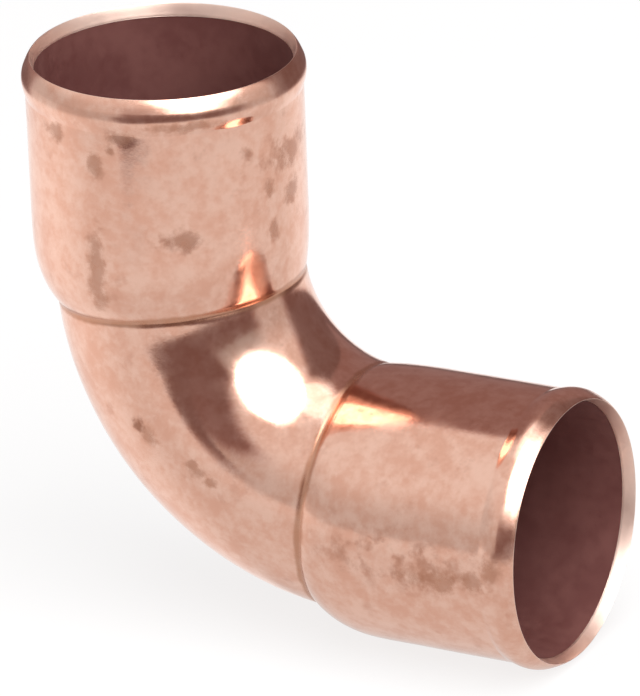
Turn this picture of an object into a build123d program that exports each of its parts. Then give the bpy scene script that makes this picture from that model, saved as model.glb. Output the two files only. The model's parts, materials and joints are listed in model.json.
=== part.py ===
from build123d import *
import math
import os

# 90 degree copper elbow with two solder sockets, 3/4 inch nominal (22.225 mm tube).
# Origin: where the two socket centrelines cross.
# +Z runs up the upper socket to its mouth, +X runs along the side socket to its mouth.
# The elbow is one formed wall. It is split at its forming lines into zones that meet
# face to face: rim, socket, stop shoulder, bend, stop shoulder, socket, rim.

# ---- driving dimensions, millimetres ----
mating_tube_od = 22.225
solder_gap = 0.0475
centre_to_mouth = 38.4
socket_depth = 19.2
rim_length = 3.2
wall = 0.80
mouth_wall = 0.84
rim_bulge = 0.27
rim_bulge_depth = 1.9
rim_lead_in = 0.38
rim_lead_in_depth = 1.5
bend_outer_r = 10.84
bend_centreline_r = 18.55
bend_shift = 0.78
crease_angle = 6.0
shoulder_steps = 3

# ---- worked out from the driving dimensions ----
bore_r = mating_tube_od / 2 + solder_gap
socket_r_at_mouth = bore_r + mouth_wall
socket_r_at_stop = bore_r + wall
stop_height = centre_to_mouth - socket_depth
rim_base_height = centre_to_mouth - rim_length
bend_inner_r = bend_outer_r - wall
bend_centre = bend_centreline_r + bend_shift

# Local x is the distance from the socket's centreline, local y runs towards its mouth.
upper_plane = Plane.XZ
side_plane = Plane(origin=(0, 0, 0), x_dir=(0, 0, 1), z_dir=(0, 1, 0))
bend_axis = Axis((bend_centre, 0, bend_centre), (0, -1, 0))


def bend_point(angle, reach):
    """A point on the bend: angle from its upper end, reach out from its centreline."""
    turn = math.radians(angle)
    distance = bend_centreline_r + reach
    return (bend_centre - distance * math.cos(turn), bend_centre - distance * math.sin(turn))


def rim_profile():
    """Half section of a mouth lip: bulged outside, rounded at the crest, led in inside."""
    crest_r = bore_r + rim_lead_in
    bulge_r = socket_r_at_mouth + rim_bulge
    bulge_height = centre_to_mouth - rim_bulge_depth
    lead_in_height = centre_to_mouth - rim_lead_in_depth
    inner_foot = (bore_r, rim_base_height)
    outer_foot = (socket_r_at_mouth, rim_base_height)
    Line(inner_foot, (bore_r, lead_in_height))
    EllipticalCenterArc((crest_r, lead_in_height), rim_lead_in, rim_lead_in_depth, 90, arc_size=90)
    EllipticalCenterArc((crest_r, bulge_height), bulge_r - crest_r, rim_bulge_depth, 0, arc_size=90)
    TangentArc((bulge_r, bulge_height), outer_foot, tangent=(0, -1))
    Line(outer_foot, inner_foot)


def socket_profile():
    """Half section of the socket wall, with a straight bore and a slight outer taper."""
    Polyline(
        (bore_r, stop_height),
        (bore_r, rim_base_height),
        (socket_r_at_mouth, rim_base_height),
        (socket_r_at_stop, stop_height),
        close=True,
    )


def shoulder_ring(step):
    """Centre, radius and tilt of one circle of the upper shoulder, step 0 at the socket."""
    back = bend_point(crease_angle, bend_outer_r)
    front = bend_point(crease_angle, -bend_outer_r)
    back_drop = stop_height - back[1]
    back_in = back[0] + socket_r_at_stop
    last_slope = 2 * math.atan2(back_in, back_drop)
    round_r = back_drop / math.sin(last_slope)
    slope = last_slope * step / shoulder_steps
    share = math.sin(slope) / math.sin(last_slope)
    back_x = -socket_r_at_stop + round_r * (1 - math.cos(slope))
    back_z = stop_height - round_r * math.sin(slope)
    front_x = socket_r_at_stop + share * (front[0] - socket_r_at_stop)
    front_z = stop_height + share * (front[1] - stop_height)
    centre = ((front_x + back_x) / 2, (front_z + back_z) / 2)
    radius = math.hypot(front_x - back_x, front_z - back_z) / 2
    tilt = math.atan2(front_z - back_z, front_x - back_x)
    return centre, radius, tilt


def upper_ring_plane(centre, tilt):
    """Plane of a ring of the upper shoulder."""
    across = (math.cos(tilt), 0, math.sin(tilt))
    along = (-math.sin(tilt), 0, math.cos(tilt))
    return Plane(origin=(centre[0], 0, centre[1]), x_dir=across, z_dir=along)


def side_ring_plane(centre, tilt):
    """Plane of a ring of the side shoulder, the mirror image of the upper one."""
    across = (math.sin(tilt), 0, math.cos(tilt))
    along = (math.cos(tilt), 0, -math.sin(tilt))
    return Plane(origin=(centre[1], 0, centre[0]), x_dir=across, z_dir=along)


# ---- upper end ----
with BuildPart() as upper_rim:
    with BuildSketch(upper_plane):
        with BuildLine():
            rim_profile()
        make_face()
    revolve(axis=Axis.Z)

with BuildPart() as upper_socket:
    with BuildSketch(upper_plane):
        with BuildLine():
            socket_profile()
        make_face()
    revolve(axis=Axis.Z)

with BuildPart() as upper_shoulder:
    for step in range(shoulder_steps + 1):
        centre, radius, tilt = shoulder_ring(step)
        with BuildSketch(upper_ring_plane(centre, tilt)):
            Circle(radius)
    loft()
    for step in range(shoulder_steps + 1):
        centre, radius, tilt = shoulder_ring(step)
        with BuildSketch(upper_ring_plane(centre, tilt)):
            Circle(radius - wall)
    loft(mode=Mode.SUBTRACT)

# ---- bend ----
with BuildPart() as bend:
    first_centre, first_radius, first_tilt = shoulder_ring(shoulder_steps)
    with BuildSketch(upper_ring_plane(first_centre, first_tilt)):
        Circle(bend_outer_r)
        Circle(bend_inner_r, mode=Mode.SUBTRACT)
    revolve(axis=bend_axis, revolution_arc=90 - 2 * crease_angle)

# ---- side end ----
with BuildPart() as side_shoulder:
    for step in range(shoulder_steps + 1):
        centre, radius, tilt = shoulder_ring(step)
        with BuildSketch(side_ring_plane(centre, tilt)):
            Circle(radius)
    loft()
    for step in range(shoulder_steps + 1):
        centre, radius, tilt = shoulder_ring(step)
        with BuildSketch(side_ring_plane(centre, tilt)):
            Circle(radius - wall)
    loft(mode=Mode.SUBTRACT)

with BuildPart() as side_socket:
    with BuildSketch(side_plane):
        with BuildLine():
            socket_profile()
        make_face()
    revolve(axis=Axis.X)

with BuildPart() as side_rim:
    with BuildSketch(side_plane):
        with BuildLine():
            rim_profile()
        make_face()
    revolve(axis=Axis.X)

# ---- names and files ----
os.makedirs("parts", exist_ok=True)

upper_rim.part.label = "upper_rim"
upper_socket.part.label = "upper_socket"
upper_shoulder.part.label = "upper_shoulder"
bend.part.label = "bend"
side_shoulder.part.label = "side_shoulder"
side_socket.part.label = "side_socket"
side_rim.part.label = "side_rim"

export_step(upper_rim.part, "parts/upper_rim.step")
export_step(upper_socket.part, "parts/upper_socket.step")
export_step(upper_shoulder.part, "parts/upper_shoulder.step")
export_step(bend.part, "parts/bend.step")
export_step(side_shoulder.part, "parts/side_shoulder.step")
export_step(side_socket.part, "parts/side_socket.step")
export_step(side_rim.part, "parts/side_rim.step")
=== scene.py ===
import json
import math
import bpy
import numpy as np
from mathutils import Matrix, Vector, noise


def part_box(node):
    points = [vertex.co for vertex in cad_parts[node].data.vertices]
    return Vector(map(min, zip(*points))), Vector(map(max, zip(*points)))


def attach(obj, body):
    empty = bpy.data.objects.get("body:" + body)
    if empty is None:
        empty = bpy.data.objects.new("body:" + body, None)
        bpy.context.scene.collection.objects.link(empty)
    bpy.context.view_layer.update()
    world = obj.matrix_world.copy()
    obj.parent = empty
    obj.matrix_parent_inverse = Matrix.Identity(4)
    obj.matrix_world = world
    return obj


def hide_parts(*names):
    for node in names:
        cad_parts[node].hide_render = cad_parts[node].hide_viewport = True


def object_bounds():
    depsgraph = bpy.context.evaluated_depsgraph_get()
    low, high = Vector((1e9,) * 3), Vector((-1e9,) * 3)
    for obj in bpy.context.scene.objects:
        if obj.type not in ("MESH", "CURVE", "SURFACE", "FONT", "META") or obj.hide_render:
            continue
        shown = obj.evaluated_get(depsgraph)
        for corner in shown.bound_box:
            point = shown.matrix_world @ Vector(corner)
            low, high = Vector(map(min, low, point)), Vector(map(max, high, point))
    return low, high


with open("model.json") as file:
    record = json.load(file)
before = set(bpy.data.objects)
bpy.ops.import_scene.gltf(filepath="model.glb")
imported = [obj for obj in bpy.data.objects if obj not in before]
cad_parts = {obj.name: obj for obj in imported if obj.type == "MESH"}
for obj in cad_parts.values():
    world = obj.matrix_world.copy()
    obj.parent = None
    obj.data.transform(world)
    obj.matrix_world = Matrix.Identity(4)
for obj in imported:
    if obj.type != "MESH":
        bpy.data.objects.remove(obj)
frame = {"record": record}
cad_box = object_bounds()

# The wall, the dents and the places of stains are given in millimetres; MM turns them into metres.
MM = 0.001

# ---------------------------------------------------------------- sizes from the frame
mounts = {m["name"]: m for m in frame["record"]["mounts"]}
BORE_R = mounts["upper_socket_bore"]["dims"]["r_mm"]
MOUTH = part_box("upper_rim")[1].z / MM
RIM_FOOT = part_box("upper_rim")[0].z / MM
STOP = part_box("upper_socket")[0].z / MM
FLOOR = cad_box[0].z

# ---------------------------------------------------------------- shape of the wall
SOCKET_R = 12.00        # outside, at the mouth end
SOCKET_R_LOW = 11.96    # outside, where the shoulder starts to draw in
WALL = 0.80
LIP = 0.27              # how far the lip stands out past the socket
BEND_R = 10.84          # outside radius of the bent tube
BEND_LINE_R = 18.55     # radius of the bend's centreline
BEND_SHIFT = 0.78       # the bend's ends sit this far towards the inside of the turn
BEND_CENTRE = BEND_LINE_R + BEND_SHIFT
CREASE = math.radians(6.0)      # turn of the bend at which the shoulder meets it
CREASE_END = CREASE + 0.09      # turn up to which the rings stay close together
MIDDLE = math.pi / 4            # turn at the middle of the bend
DRAW_IN = 24.0          # height where the shoulder starts to draw in
BACK_EASE = 3.2         # how late the shoulder draws in at the back of the turn
FRONT_EASE = 2          # and how late at the front of the turn

# Distance between rings: millimetres, share of the shoulder, radians, radians.
SOCKET_STEP = 0.3
SHOULDER_STEP = 0.012
CREASE_STEP = 0.0045
BEND_STEP = 0.016
AROUND = 224            # points in one ring
SOFT_RINGS = 5          # rings each side of the crease that are rounded
SOFT_PASSES = 3

# Half section of the lip, from its outer foot over the crest to its inner foot.
LIP_OUTSIDE = [         # past SOCKET_R, above the foot
    (0.0, 0.0), (0.03, 0.14), (0.09, 0.34), (0.155, 0.56), (0.21, 0.80), (0.25, 1.05), (LIP, 1.30),
    (0.26, 1.55)]
LIP_CREST = [           # past SOCKET_R, below the mouth
    (0.225, 1.40), (0.165, 1.18), (0.085, 0.98), (0.0, 0.78), (-0.085, 0.59), (-0.17, 0.42),
    (-0.25, 0.28), (-0.33, 0.16), (-0.40, 0.07), (-0.45, 0.015), (-0.48, 0.0)]
LIP_LEAD_IN = [         # past BORE_R, below the mouth
    (0.335, 0.03), (0.30, 0.12), (0.235, 0.31), (0.17, 0.52), (0.105, 0.74), (0.04, 0.96),
    (0.005, 1.14), (0.0, 1.30)]
LIP_STEPS = 3           # rings from one knot of the lip to the next
DULL_KNOT = 25         # knot where the lip's bright lead-in ends and the dull bore begins
DULL_RING = DULL_KNOT * LIP_STEPS


def bend_point(angle, reach):
    """Point of the bend in the X-Z plane, angle from its upper end."""
    d = BEND_LINE_R + reach
    return BEND_CENTRE - d * math.cos(angle), BEND_CENTRE - d * math.sin(angle)


def spaced(start, stop, step):
    """Even values from start to stop, about one step apart."""
    n = max(2, int(round(abs(stop - start) / step)) + 1)
    return np.linspace(start, stop, n)


def outer_half():
    """Rings of the outer face from below the lip to the middle of the bend.
    Each ring is back x, back z, front x, front z: the ends of its diameter."""
    rows = []
    for z in spaced(RIM_FOOT, DRAW_IN, SOCKET_STEP):
        k = (RIM_FOOT - z) / (RIM_FOOT - DRAW_IN)
        r = SOCKET_R + (SOCKET_R_LOW - SOCKET_R) * k
        rows.append((-r, z, r, z))
    back = bend_point(CREASE, BEND_R)
    front = bend_point(CREASE, -BEND_R)
    for u in spaced(0.0, 1.0, SHOULDER_STEP)[1:]:
        bx = -SOCKET_R_LOW + (back[0] + SOCKET_R_LOW) * u ** BACK_EASE
        bz = DRAW_IN + (back[1] - DRAW_IN) * u
        fx = SOCKET_R_LOW + (front[0] - SOCKET_R_LOW) * u ** FRONT_EASE
        fz = DRAW_IN + (front[1] - DRAW_IN) * u
        rows.append((bx, bz, fx, fz))
    for start, stop, step in ((CREASE, CREASE_END, CREASE_STEP), (CREASE_END, MIDDLE, BEND_STEP)):
        for a in spaced(start, stop, step)[1:]:
            rows.append(bend_point(a, BEND_R) + bend_point(a, -BEND_R))
    return np.array(rows)


def soften(rows, lo, hi, passes):
    """Rounds the crease: averages neighbouring rings between two ring numbers."""
    rows = rows.copy()
    for _ in range(passes):
        mid = rows[lo:hi]
        rows[lo:hi] = mid + 0.25 * (rows[lo - 1:hi - 1] + rows[lo + 1:hi + 1] - 2 * mid)
    return rows


def lip_rows():
    """Rings of the mouth lip: a Catmull-Rom curve through the knots of its half section."""
    knots = [(SOCKET_R + out, RIM_FOOT + up) for out, up in LIP_OUTSIDE]
    knots += [(SOCKET_R + out, MOUTH - down) for out, down in LIP_CREST]
    knots += [(BORE_R + out, MOUTH - down) for out, down in LIP_LEAD_IN]
    knots.append((BORE_R, RIM_FOOT))
    p = np.array(knots)
    fine = []
    for i in range(len(p) - 1):
        a, b = p[max(i - 1, 0)], p[i]
        c, d = p[i + 1], p[min(i + 2, len(p) - 1)]
        for t in np.linspace(0, 1, LIP_STEPS + 1)[:-1]:
            fine.append(0.5 * (2 * b + (c - a) * t + (2 * a - 5 * b + 4 * c - d) * t ** 2
                               + (3 * b - a - 3 * c + d) * t ** 3))
    fine.append(p[-1])
    return np.array([(-r, z, r, z) for r, z in fine])


def centre_and_half(rows):
    """Centre of each ring, the half of its diameter that ends at the front, and its radius."""
    centre = (rows[:, :2] + rows[:, 2:]) / 2
    half = (rows[:, 2:] - rows[:, :2]) / 2
    return centre, half, np.hypot(half[:, 0], half[:, 1])


def inset(rows):
    """The inner face: each ring drawn in by the wall, and the plain bore in the socket."""
    centre, half, radius = centre_and_half(rows)
    inner = radius - WALL
    inner[rows[:, 1] >= DRAW_IN] = BORE_R
    half *= (inner / radius)[:, None]
    return np.hstack([centre - half, centre + half])


def rings(rows):
    """Points of every ring, angle 0 on the inside of the turn."""
    a = np.arange(AROUND) / AROUND * 2 * math.pi
    centre, half, radius = centre_and_half(rows)
    p = np.empty((len(rows), AROUND, 3))
    p[:, :, 0] = centre[:, :1] + half[:, :1] * np.cos(a)
    p[:, :, 1] = radius[:, None] * np.sin(a)
    p[:, :, 2] = centre[:, 1:] + half[:, 1:] * np.cos(a)
    return p


def mirrored(p):
    """Mirror image in the plane x = z."""
    return p[:, :, [2, 1, 0]]


half_rows = outer_half()
crease_row = int(np.argmin(np.abs(half_rows[:, 1] - bend_point(CREASE, BEND_R)[1])))
half_rows = soften(half_rows, crease_row - SOFT_RINGS, crease_row + SOFT_RINGS, SOFT_PASSES)
half_outer = rings(half_rows)
half_inner = rings(inset(half_rows))
lip = rings(lip_rows())
stop_row = int(np.argmin(np.abs(half_rows[:, [1, 3]].mean(axis=1) - STOP)))

# One closed sheet of rings: upper lip, outer face, side lip, inner face.
sheet = np.concatenate([lip[::-1], half_outer[1:], mirrored(half_outer[::-1])[1:], mirrored(lip)[1:],
                        mirrored(half_inner[1:]), half_inner[::-1][1:-1]])
FOOT_U = len(lip) - 1                    # ring at the outer foot of the upper lip
MID = FOOT_U + len(half_outer) - 1       # ring at the middle of the bend
FOOT_S = MID + len(half_outer) - 1       # ring at the outer foot of the side lip
IN_S = FOOT_S + len(lip) - 1             # ring at the inner foot of the side lip
TOTAL = len(sheet)

# Slight waviness of formed copper, in millimetres: height, size of its features, seed.
WAVES = [(0.026, 8.0, 3.1), (0.007, 3.0, 8.7), (0.0015, 1.1, 5.3)]
GROOVE_DEPTH = 0.06     # forming line pressed in where the shoulder meets the bend
GROOVE_REACH = 0.30
GROOVE_UNEVEN = (0.5, 5.0, 1.9)     # how its depth wanders: share, size of its features, seed
DENT_END = 9.0          # past this many squared reaches a dent is gone
INSIDE_SHARE = 0.3      # the waviness that shows through on the inner face
INSIDE_LIMIT = 0.02     # most that a wave may narrow the inner face before that share is taken

# Small dents: place in millimetres, reach along each axis, depth.
DENTS = [
    ((4.8, -10.1, 16.4), (3.4, 3.0, 2.0), 0.08), ((-0.6, -12.0, 22.8), (0.7, 3.0, 3.0), 0.07),
    ((-4.6, -11.1, 34.4), (1.0, 3.0, 0.8), 0.03), ((2.2, -11.8, 35.2), (1.1, 3.0, 0.6), 0.03),
    ((-0.2, -12.0, 32.2), (0.9, 3.0, 1.0), 0.03), ((7.3, -9.5, 25.6), (1.8, 2.0, 1.5), 0.04),
    ((4.2, -11.2, 27.5), (1.5, 2.0, 1.8), 0.03), ((10.9, -5.0, 32.6), (1.5, 0.8, 0.9), 0.03),
    ((11.6, -3.0, 28.5), (2.0, 0.7, 1.0), 0.04), ((11.7, -2.6, 24.6), (2.0, 0.7, 1.2), 0.03),
    ((1.8, -10.6, 8.1), (0.5, 2.0, 0.5), 0.05), ((8.0, -10.8, 4.3), (1.3, 2.0, 0.5), 0.03),
    ((36.0, -10.6, 4.8), (0.8, 2.0, 0.9), 0.03)]


def wave(p, size, seed):
    """Smooth noise between -1 and 1 with features of the given size."""
    return noise.noise(Vector((p[0] / size + seed, p[1] / size - seed, p[2] / size + 2 * seed)))


def vertex_normals(p):
    """Area weighted normals of a sheet closed both ways."""
    east = np.roll(p, -1, 1)
    north = np.roll(p, -1, 0)
    face = np.cross(np.roll(east, -1, 0) - p, east - north)
    total = face + np.roll(face, 1, 0) + np.roll(face, 1, 1) + np.roll(np.roll(face, 1, 0), 1, 1)
    return total / (np.linalg.norm(total, axis=2, keepdims=True) + 1e-12)


def outward(p, n):
    """Turns the normals so that they point out of the metal, as seen on a ring of the upper socket."""
    ring = FOOT_U + 5
    away = p[ring] - p[ring].mean(axis=0)
    return n if (n[ring] * away).sum() > 0 else -n


def groove(q):
    """How near a point is to a forming line, 1 on the line and 0 half a millimetre off."""
    cos, sin = math.cos(CREASE), math.sin(CREASE)
    a = abs((BEND_CENTRE - q[2]) * cos - (BEND_CENTRE - q[0]) * sin)
    b = abs((BEND_CENTRE - q[0]) * cos - (BEND_CENTRE - q[2]) * sin)
    return math.exp(-(min(a, b) / GROOVE_REACH) ** 2)


def displaced(p, n):
    """The sheet with its waviness, the forming lines pressed in, and the small dents."""
    uneven, uneven_size, uneven_seed = GROOVE_UNEVEN
    out = []
    for q in p.reshape(-1, 3):
        d = sum(height * wave(q, size, seed) for height, size, seed in WAVES)
        d -= GROOVE_DEPTH * groove(q) * (1.0 + uneven * wave(q, uneven_size, uneven_seed))
        for centre, reach, depth in DENTS:
            far = sum(((a - b) / c) ** 2 for a, b, c in zip(q, centre, reach))
            if far < DENT_END:
                d -= depth * math.exp(-far)
        out.append(d)
    d = np.array(out).reshape(p.shape[:2])
    d[IN_S:] = np.minimum(d[IN_S:], INSIDE_LIMIT) * INSIDE_SHARE
    return p + n * d[:, :, None]


sheet = displaced(sheet, outward(sheet, vertex_normals(sheet)))
normals = outward(sheet, vertex_normals(sheet))

OUT_STOP_U = FOOT_U + stop_row
OUT_STOP_S = FOOT_S - stop_row
OUT_CREASE_U = FOOT_U + crease_row
OUT_CREASE_S = FOOT_S - crease_row
IN_STOP_S = IN_S + stop_row
IN_STOP_U = TOTAL - stop_row
IN_CREASE_S = IN_S + crease_row
IN_CREASE_U = TOTAL - crease_row

# First and last ring of each strip of a zone, going round its section.
ZONES = {
    "upper_rim": [(0, FOOT_U)],
    "upper_socket": [(FOOT_U, OUT_STOP_U), (IN_STOP_U, TOTAL)],
    "upper_shoulder": [(OUT_STOP_U, OUT_CREASE_U), (IN_CREASE_U, IN_STOP_U)],
    "bend": [(OUT_CREASE_U, OUT_CREASE_S), (IN_CREASE_S, IN_CREASE_U)],
    "side_shoulder": [(OUT_CREASE_S, OUT_STOP_S), (IN_STOP_S, IN_CREASE_S)],
    "side_socket": [(OUT_STOP_S, FOOT_S), (IN_S, IN_STOP_S)],
    "side_rim": [(FOOT_S, IN_S)],
}


def dull(ring, following):
    """True between two rings of the inner face, or of a lip past the end of its bright lead-in."""
    bore = ring >= IN_S and (following >= IN_S or following == 0)
    upper = max(ring, following) <= FOOT_U - DULL_RING
    side = FOOT_S + DULL_RING <= min(ring, following) and max(ring, following) <= IN_S
    return bore or upper or side


def build_zone(name, spans, materials):
    """A closed mesh of one zone of the wall, smooth across to its neighbours."""
    strips = [[i % TOTAL for i in range(first, last + 1)] for first, last in spans]
    order = [i for strip in strips for i in strip]
    points = sheet[order].reshape(-1, 3) * MM
    point_normals = normals[order].reshape(-1, 3)
    ends = np.cumsum([len(s) for s in strips]) - 1
    faces, slots, flat = [], [], []
    for r in range(len(order)):
        s = (r + 1) % len(order)
        cap = r in ends
        for k in range(AROUND):
            m = (k + 1) % AROUND
            faces.append((r * AROUND + k, r * AROUND + m, s * AROUND + m, s * AROUND + k))
        slots += [1 if dull(order[r], order[s]) and not cap else 0] * AROUND
        flat += [cap] * AROUND
    f = np.array(faces)
    flat = np.array(flat)
    a, b, c = points[f[:, 0]], points[f[:, 1]], points[f[:, 2]]
    face_n = np.cross(b - a, c - b)
    face_n /= np.linalg.norm(face_n, axis=1, keepdims=True) + 1e-20
    probe = np.flatnonzero(~flat)[0]
    if (face_n[probe] * point_normals[f[probe, 0]]).sum() < 0:
        f = f[:, ::-1]
        face_n = -face_n
    loop_n = point_normals[f.reshape(-1)].reshape(-1, 4, 3)
    loop_n[flat] = face_n[flat][:, None, :]
    mesh = bpy.data.meshes.new(name)
    mesh.from_pydata(points.tolist(), [], f.tolist())
    for m in materials:
        mesh.materials.append(m)
    mesh.polygons.foreach_set("material_index", slots)
    mesh.polygons.foreach_set("use_smooth", [True] * len(f))
    mesh.update()
    mesh.normals_split_custom_set(loop_n.reshape(-1, 3).tolist())
    obj = bpy.data.objects.new("copper_" + name, mesh)
    bpy.context.scene.collection.objects.link(obj)
    return obj


# ---------------------------------------------------------------- node trees
class Nodes:
    """Short calls for building a node tree."""

    def __init__(self, tree):
        self.tree = tree

    def add(self, kind, **settings):
        n = self.tree.nodes.new(kind)
        for key, value in settings.items():
            setattr(n, key, value)
        return n

    def put(self, socket, value):
        """Links a socket to another, or sets it to a constant."""
        if isinstance(value, bpy.types.NodeSocket):
            self.tree.links.new(value, socket)
        else:
            socket.default_value = value

    def math(self, op, a, b=0.0, c=0.0):
        n = self.add("ShaderNodeMath", operation=op)
        for socket, value in zip(n.inputs, (a, b, c)):
            self.put(socket, value)
        return n.outputs[0]

    def plus(self, a, b):
        return self.math("ADD", a, b)

    def minus(self, a, b):
        return self.math("SUBTRACT", a, b)

    def times(self, a, b):
        return self.math("MULTIPLY", a, b)

    def most(self, *values):
        total = values[0]
        for v in values[1:]:
            total = self.math("MAXIMUM", total, v)
        return total

    def length(self, a, b):
        return self.math("SQRT", self.plus(self.times(a, a), self.times(b, b)))

    def azimuth(self, x, y):
        """Angle about the vertical in radians: 0 is -Y and a quarter turn is +X."""
        return self.math("ARCTAN2", x, self.times(y, -1.0))

    def split(self, vector):
        n = self.add("ShaderNodeSeparateXYZ")
        self.put(n.inputs[0], vector)
        return [n.outputs[k] for k in "XYZ"]

    def span(self, value, low, high, to_low=0.0, to_high=1.0):
        """A smooth step from to_low to to_high while the value goes from low to high."""
        n = self.add("ShaderNodeMapRange", interpolation_type="SMOOTHSTEP")
        for key, v in zip(("Value", "From Min", "From Max", "To Min", "To Max"),
                          (value, low, high, to_low, to_high)):
            self.put(n.inputs[key], v)
        return n.outputs["Result"]

    def turn(self, azimuth, low, high, to_low=0.0, to_high=1.0):
        """The same smooth step between two azimuths in degrees."""
        return self.span(azimuth, math.radians(low), math.radians(high), to_low, to_high)

    def mix(self, share, a, b):
        n = self.add("ShaderNodeMix", data_type="RGBA")
        self.put(n.inputs[0], share)
        self.put(n.inputs[6], a)
        self.put(n.inputs[7], b)
        return n.outputs[2]

    def blend(self, share, a, b):
        """Mix of two shaders."""
        n = self.add("ShaderNodeMixShader")
        self.put(n.inputs[0], share)
        self.put(n.inputs[1], a.outputs[0])
        self.put(n.inputs[2], b.outputs[0])
        return n


# ---------------------------------------------------------------- copper
# Where masks fade, from 0 to 1. Lengths are in millimetres.
MARK_FADE = (1.5, 0.35)         # in half sizes of the mark from its place
SEAM_FADE = (0.62, 0.22)        # off the forming line
SEAM_WANDER = 0.5
LIP_FADE = (0.8, 1.5)           # above the foot of the lip
BRUSHED_FADE = (0.44, 0.32)     # past the radius of the bore


class Copper(Nodes):
    """A metal material with patterns tied to the object's own coordinates."""

    def __init__(self, name):
        self.material = bpy.data.materials.new(name)
        self.material.use_nodes = True
        super().__init__(self.material.node_tree)
        self.shader = self.tree.nodes["Principled BSDF"]
        self.place = self.add("ShaderNodeTexCoord").outputs["Object"]

    def noise(self, scale, detail=4.0, rough=0.55):
        n = self.add("ShaderNodeTexNoise")
        self.put(n.inputs["Vector"], self.place)
        self.put(n.inputs["Scale"], scale)
        self.put(n.inputs["Detail"], detail)
        self.put(n.inputs["Roughness"], rough)
        return n.outputs["Fac"]

    def wander(self, scale, detail, rough, reach):
        """Noise about zero, reach from end to end."""
        return self.times(self.minus(self.noise(scale, detail, rough), 0.5), reach)

    def bump(self, height, distance, strength):
        n = self.add("ShaderNodeBump")
        self.put(n.inputs["Height"], height)
        self.put(n.inputs["Distance"], distance)
        self.put(n.inputs["Strength"], strength)
        self.put(self.shader.inputs["Normal"], n.outputs["Normal"])

    def mark(self, at, half, ragged=1.5, grain=650.0):
        """1 inside a small ragged patch of the surface, place and half sizes in millimetres."""
        away = self.place
        for op, sizes in (("SUBTRACT", at), ("DIVIDE", half)):
            n = self.add("ShaderNodeVectorMath", operation=op)
            self.put(n.inputs[0], away)
            self.put(n.inputs[1], tuple(v * MM for v in sizes))
            away = n.outputs["Vector"]
        length = self.add("ShaderNodeVectorMath", operation="LENGTH")
        self.put(length.inputs[0], away)
        edge = self.wander(grain, 3.0, 0.6, 2.0 * ragged)
        return self.span(self.plus(length.outputs["Value"], edge), *MARK_FADE)

    def seam(self):
        """1 on the two forming lines, with slightly wandering edges."""
        x, _, z = self.split(self.place)
        across = self.minus(BEND_CENTRE * MM, x)
        down = self.minus(BEND_CENTRE * MM, z)
        lines = []
        for a, b in ((down, across), (across, down)):
            off = self.minus(self.times(a, math.cos(CREASE)), self.times(b, math.sin(CREASE)))
            lines.append(self.math("ABSOLUTE", off))
        near = self.plus(self.math("MINIMUM", *lines), self.wander(500.0, 2.0, 0.5, SEAM_WANDER * MM))
        return self.span(near, *[v * MM for v in SEAM_FADE])

    def lips(self):
        """Two masks: 1 on both mouth lips, and 1 on their inner side, which is brushed clean."""
        x, y, z = self.split(self.place)
        along = self.math("MAXIMUM", x, z)
        across = self.math("MINIMUM", x, z)
        lip_mask = self.span(along, *[(RIM_FOOT + v) * MM for v in LIP_FADE])
        inner = self.span(self.length(across, y), *[(BORE_R + v) * MM for v in BRUSHED_FADE])
        return lip_mask, self.times(lip_mask, inner)


# Brown stains on the outside, and one brown band under the front of the upper lip that is a painted
# reflection: place and half sizes in millimetres.
STAINS_AND_PAINTED_REFLECTION = [
    # The second entry is the painted reflection: the copper-orange band that the undercut of the upper
    # lip reflects.
    ((-0.6, -12.0, 22.9), (0.75, 3.0, 3.8)), ((7.6, -9.4, 36.0), (3.0, 2.6, 0.40)),
    ((11.9, 0.4, 31.0), (1.2, 2.8, 1.3)), ((12.0, 0.2, 27.3), (0.8, 1.0, 1.2)),
    ((-4.6, -11.1, 34.4), (0.9, 3.0, 0.7)), ((2.2, -11.8, 35.0), (1.0, 3.0, 0.6)),
    ((-0.2, -12.0, 32.3), (0.7, 3.0, 0.9)), ((1.2, -11.9, 33.8), (0.5, 3.0, 0.5)),
    ((6.6, -10.0, 25.6), (1.4, 2.0, 0.9)), ((10.8, -5.1, 32.6), (1.2, 0.6, 0.7)),
    ((11.6, -3.0, 28.6), (1.6, 0.5, 0.9)), ((11.7, -2.6, 24.8), (1.6, 0.5, 1.0)),
    ((3.0, -10.7, 7.15), (0.95, 2.0, 0.75)), ((7.2, -10.8, 5.2), (0.65, 2.0, 0.5)),
    ((8.0, -10.8, 4.55), (0.7, 2.0, 0.5)), ((8.8, -10.8, 3.9), (0.65, 2.0, 0.45)),
    ((36.4, -11.8, 0.6), (0.8, 2.0, 1.6)), ((34.5, -12.0, -0.6), (1.5, 2.0, 0.9)),
    ((31.0, -12.0, -0.9), (2.6, 2.0, 1.1))]
PIT = ((1.95, -10.6, 8.05), (0.62, 2.0, 0.62))
SCUFFED = ((27.5, -12.0, 0.0), (7.0, 4.0, 2.3))

DEEP_COPPER = (0.85, 0.46, 0.335, 1)
PALE_COPPER = (0.97, 0.605, 0.475, 1)
DARK_BORE = (0.150, 0.046, 0.040, 1)
PALE_BORE = (0.195, 0.070, 0.060, 1)
LIP_ROUGHNESS = 0.09    # added to the polish of the whole lip


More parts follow.
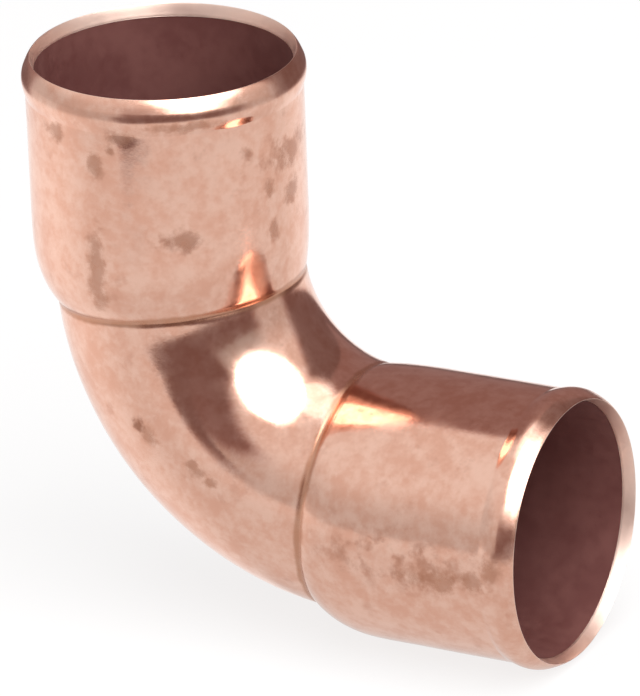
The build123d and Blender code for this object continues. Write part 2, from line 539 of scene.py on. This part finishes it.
def bright_copper():
    """Formed copper: mottled, blotched and stained, with a painted reflection under the upper lip,
    brushed lips, and forming lines darkened by tarnish and painted crease shade.
    """
    g = Copper("formed_copper")
    broad = g.noise(190.0, 3.0, 0.5)
    patch = g.noise(520.0, 3.0, 0.55)
    small = g.noise(1300.0, 3.0, 0.6)
    grain = g.noise(3600.0, 3.0, 0.6)
    tone = g.plus(g.times(broad, 0.25), g.plus(g.times(patch, 0.45), g.times(small, 0.30)))
    colour = g.mix(g.span(tone, 0.38, 0.62), DEEP_COPPER, PALE_COPPER)
    blotch = g.span(g.noise(430.0, 4.0, 0.6), 0.58, 0.72)
    stain_and_painted_reflection = g.most(*[g.mark(at, half) for at, half in STAINS_AND_PAINTED_REFLECTION])
    pit = g.mark(*PIT, 1.0, 1400.0)
    scuff = g.times(g.mark(*SCUFFED, 0.6), g.span(g.noise(700.0, 3.0, 0.5), 0.42, 0.64))
    lip_mask, brushed = g.lips()
    # One over the other: mask, colour, share of the colour, added roughness.
    layers = [
        (blotch, (0.58, 0.26, 0.17, 1), 0.24, 0.06),
        # Stains, with the painted reflection under the upper lip.
        (stain_and_painted_reflection, (0.45, 0.19, 0.11, 1), 0.50, 0.16),
        (pit, (0.30, 0.11, 0.06, 1), 0.78, 0.0),
        (scuff, (0.48, 0.20, 0.12, 1), 0.60, 0.16),
        (brushed, (1.0, 0.79, 0.69, 1), 0.80, 0.29),
        # Forming lines: brown tarnish together with painted shade of the crease.
        (g.seam(), (0.48, 0.20, 0.10, 1), 0.62, 0.12)]
    worn = g.times(lip_mask, LIP_ROUGHNESS)
    for mask, tint, share, roughness in layers:
        colour = g.mix(g.times(mask, share), colour, tint)
        worn = g.most(worn, g.times(mask, roughness))
    g.put(g.shader.inputs["Base Color"], colour)
    g.put(g.shader.inputs["Metallic"], 1.0)
    g.put(g.shader.inputs["Roughness"], g.plus(g.span(patch, 0.35, 0.65, 0.10, 0.16), worn))
    g.bump(g.minus(g.times(grain, 0.30), g.most(scuff, g.times(stain_and_painted_reflection, 0.6))), 0.025 * MM, 0.35)
    return g.material


def dull_copper():
    """Dark, dull copper of the bore."""
    g = Copper("oxidised_copper_inside")
    broad = g.noise(160.0, 3.0, 0.5)
    patch = g.noise(900.0, 4.0, 0.6)
    tone = g.plus(g.times(broad, 0.6), g.times(patch, 0.4))
    g.put(g.shader.inputs["Base Color"], g.mix(g.span(tone, 0.36, 0.64), DARK_BORE, PALE_BORE))
    g.put(g.shader.inputs["Metallic"], 0.15)
    g.put(g.shader.inputs["Roughness"], g.span(patch, 0.3, 0.7, 0.62, 0.80))
    g.bump(patch, 0.02 * MM, 0.3)
    return g.material


outside = bright_copper()
inside = dull_copper()
for node_name, spans in ZONES.items():
    piece = build_zone(node_name, spans, [outside, inside])
    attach(piece, "root")
    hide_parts(node_name)


# ---------------------------------------------------------------- studio, in metres and degrees
AIM = Vector((0.012, 0.0, 0.012))
WHITE = (1.0, 1.0, 1.0, 1.0)
PAPER_WHITE = (0.92, 0.92, 0.92, 1.0)
DARK_TINT = (1.0, 0.68, 0.66, 1.0)      # warm tint of the dark parts of the room
FLOOR_HALF = 4.0
PAPER_GLOW = 0.80       # share of the floor that is white to the eye whatever light falls on it

# The paper and the table, as reflections see them.
FRONT_LEFT = (-17.0, -9.0)          # azimuths where the table in front begins
FRONT_RIGHT = (86.0, 98.0)          # and ends
EDGE_TURN = (-8.0, 30.0)            # azimuths over which the paper's front edge moves away
EDGE_FAR = (0.125, 0.158)           # and its distances
EDGE_SOFT = 0.003
BACK_RIGHT = (122.0, 134.0)         # azimuths where the table behind begins on the right
BACK_LEFT = (-107.0, -95.0)         # and ends on the left
BACK_FAR = (0.13, 0.17)             # distances over which the paper gives way to it
BRIGHTEST = -130.0                  # azimuth of the brightest paper
BRIGHT_TURN = (-0.2, 0.7)           # cosines from that azimuth between the dimmest and the brightest
PAPER_LEVEL = (0.80, 1.03)          # brightness of the dimmest and of the brightest paper
FAR_PAPER = (0.11, 0.22, 1.0, 0.72)     # distances over which it dims, and its share before and after
NEAR_PAPER = (0.04, 0.09, 0.92, 1.0)    # the same close round the object
TABLE_LEVEL = 0.20

# The room, as reflections see it. Heights are sines of the elevation, with the brightness at each.
WALLS = (0.10, 0.60, 0.60, 0.84)
CEILING = (0.93, 0.99, 0.0, 1.05)

# Areas of the room: azimuth from, azimuth to, softness, top, softness of the top.
DIM_SIDE = (40.0, 90.0, 8.0, 24.0, 8.0)
DARK_FRONT = (-6.0, 44.0, 4.0, 23.0, 5.0)
DARK_RIGHT = (40.0, 94.0, 6.0, 8.0, 3.0)
BRIGHT_SIDES = (-101.0, 128.0, 6.0)     # between these azimuths the room behind is not dark
BEHIND_TOP = (69.0, 4.0)
DIM_SHARE = 0.35
RIGHT_SHARE = 0.8
DARK_TURN = (-60.0, 60.0)           # azimuths over which the dark parts get darker to the right
DARK_LEVEL = (0.29, 0.19)           # and their brightness there


def toward(azimuth, elevation):
    """Unit vector: azimuth 0 is -Y and 90 is +X, elevation above the floor."""
    a, e = math.radians(azimuth), math.radians(elevation)
    return Vector((math.sin(a) * math.cos(e), -math.cos(a) * math.cos(e), math.sin(e)))


def soft_light(name, azimuth, elevation, distance, size, power):
    """A round area light that faces the object."""
    data = bpy.data.lights.new(name, "AREA")
    data.shape = "DISK"
    data.size = size
    data.energy = power
    lamp = bpy.data.objects.new(name, data)
    lamp.location = AIM + toward(azimuth, elevation) * distance
    lamp.rotation_euler = toward(azimuth, elevation).to_track_quat("Z", "Y").to_euler()
    bpy.context.scene.collection.objects.link(lamp)


def floor_material():
    """White paper to the eye. In reflections: white paper, brighter to the left, that ends
    in front of the object and behind it, where a dark table begins."""
    material = bpy.data.materials.new("pale_floor")
    material.use_nodes = True
    g = Nodes(material.node_tree)
    g.tree.nodes.remove(g.tree.nodes["Principled BSDF"])
    x, y, _ = g.split(g.add("ShaderNodeTexCoord").outputs["Object"])
    dx, dy = g.minus(x, AIM.x), g.minus(y, AIM.y)
    far = g.length(dx, dy)
    azimuth = g.azimuth(dx, dy)
    edge = g.turn(azimuth, *EDGE_TURN, *EDGE_FAR)
    front = g.times(g.span(g.minus(far, edge), -EDGE_SOFT, EDGE_SOFT),
                    g.times(g.turn(azimuth, *FRONT_LEFT), g.turn(azimuth, *FRONT_RIGHT, 1.0, 0.0)))
    back = g.times(g.plus(g.turn(azimuth, *BACK_RIGHT), g.turn(azimuth, *BACK_LEFT, 1.0, 0.0)),
                   g.span(far, *BACK_FAR))
    table = g.most(front, back)
    backward = g.math("COSINE", g.minus(azimuth, math.radians(BRIGHTEST)))
    paper = g.times(g.span(backward, *BRIGHT_TURN, *PAPER_LEVEL), g.span(far, *FAR_PAPER))
    paper = g.times(paper, g.span(far, *NEAR_PAPER))
    glow = g.add("ShaderNodeEmission")
    g.put(glow.inputs["Color"], g.mix(table, WHITE, DARK_TINT))
    g.put(glow.inputs["Strength"],
          g.plus(g.times(paper, g.minus(1.0, table)), g.times(table, TABLE_LEVEL)))
    white = g.add("ShaderNodeBsdfDiffuse")
    g.put(white.inputs["Color"], PAPER_WHITE)
    path = g.add("ShaderNodeLightPath").outputs
    shown = g.blend(g.times(path["Is Camera Ray"], PAPER_GLOW), white, g.add("ShaderNodeEmission"))
    surface = g.blend(path["Is Glossy Ray"], shown, glow)
    g.put(g.tree.nodes["Material Output"].inputs["Surface"], surface.outputs[0])
    return material


def studio_world():
    """White to the eye. In reflections: a mid grey room, darker behind the object and low in front."""
    world = bpy.data.worlds.new("studio")
    bpy.context.scene.world = world
    world.use_nodes = True
    g = Nodes(world.node_tree)
    x, y, up = g.split(g.add("ShaderNodeTexCoord").outputs["Generated"])
    azimuth = g.azimuth(x, y)

    def between(low, high, soft):
        """1 between two azimuths, with soft ends."""
        return g.times(g.turn(azimuth, low - soft, low + soft),
                       g.turn(azimuth, high - soft, high + soft, 1.0, 0.0))

    def below(elevation, soft):
        """1 below an elevation, with a soft end."""
        low, high = (math.sin(math.radians(elevation + s)) for s in (-soft, soft))
        return g.span(up, low, high, 1.0, 0.0)

    def area(low, high, soft, top, top_soft):
        return g.times(between(low, high, soft), below(top, top_soft))

    room = g.most(g.span(up, *WALLS), g.span(up, *CEILING))
    room = g.times(room, g.minus(1.0, g.times(area(*DIM_SIDE), DIM_SHARE)))
    behind = g.times(g.minus(1.0, between(*BRIGHT_SIDES)), below(*BEHIND_TOP))
    dark = g.most(behind, area(*DARK_FRONT), g.times(area(*DARK_RIGHT), RIGHT_SHARE))
    shade = g.turn(azimuth, *DARK_TURN, *DARK_LEVEL)
    base = g.tree.nodes["Background"]
    g.put(base.inputs["Color"], g.mix(dark, WHITE, DARK_TINT))
    g.put(base.inputs["Strength"], g.plus(g.times(room, g.minus(1.0, dark)), g.times(dark, shade)))
    seen = g.add("ShaderNodeBackground")
    g.put(seen.inputs["Color"], WHITE)
    mixed = g.blend(g.add("ShaderNodeLightPath").outputs["Is Camera Ray"], base, seen)
    g.put(g.tree.nodes["World Output"].inputs["Surface"], mixed.outputs[0])


soft_light("key", azimuth=57.0, elevation=50.0, distance=0.50, size=0.56, power=2.7)
soft_light("top", azimuth=0.0, elevation=89.0, distance=0.60, size=0.36, power=0.3)

corners = [(-FLOOR_HALF, -FLOOR_HALF), (FLOOR_HALF, -FLOOR_HALF), (FLOOR_HALF, FLOOR_HALF),
           (-FLOOR_HALF, FLOOR_HALF)]
floor_mesh = bpy.data.meshes.new("floor")
floor_mesh.from_pydata([(x, y, FLOOR) for x, y in corners], [], [(0, 1, 2, 3)])
floor_mesh.materials.append(floor_material())
floor = bpy.data.objects.new("floor", floor_mesh)
bpy.context.scene.collection.objects.link(floor)

studio_world()

camera_data = bpy.data.cameras.new("camera")
camera_data.lens = 600.12
camera_data.sensor_width = 36.0
camera_data.clip_start = 0.01
camera_data.clip_end = 20.0
camera = bpy.data.objects.new("camera", camera_data)
camera.location = (0.46266, -0.80513, 0.39719)
camera.rotation_euler = (math.radians(67.357), math.radians(2.211), math.radians(28.196))
bpy.context.scene.collection.objects.link(camera)
bpy.context.scene.camera = camera
bpy.context.scene.view_settings.view_transform = "Standard"
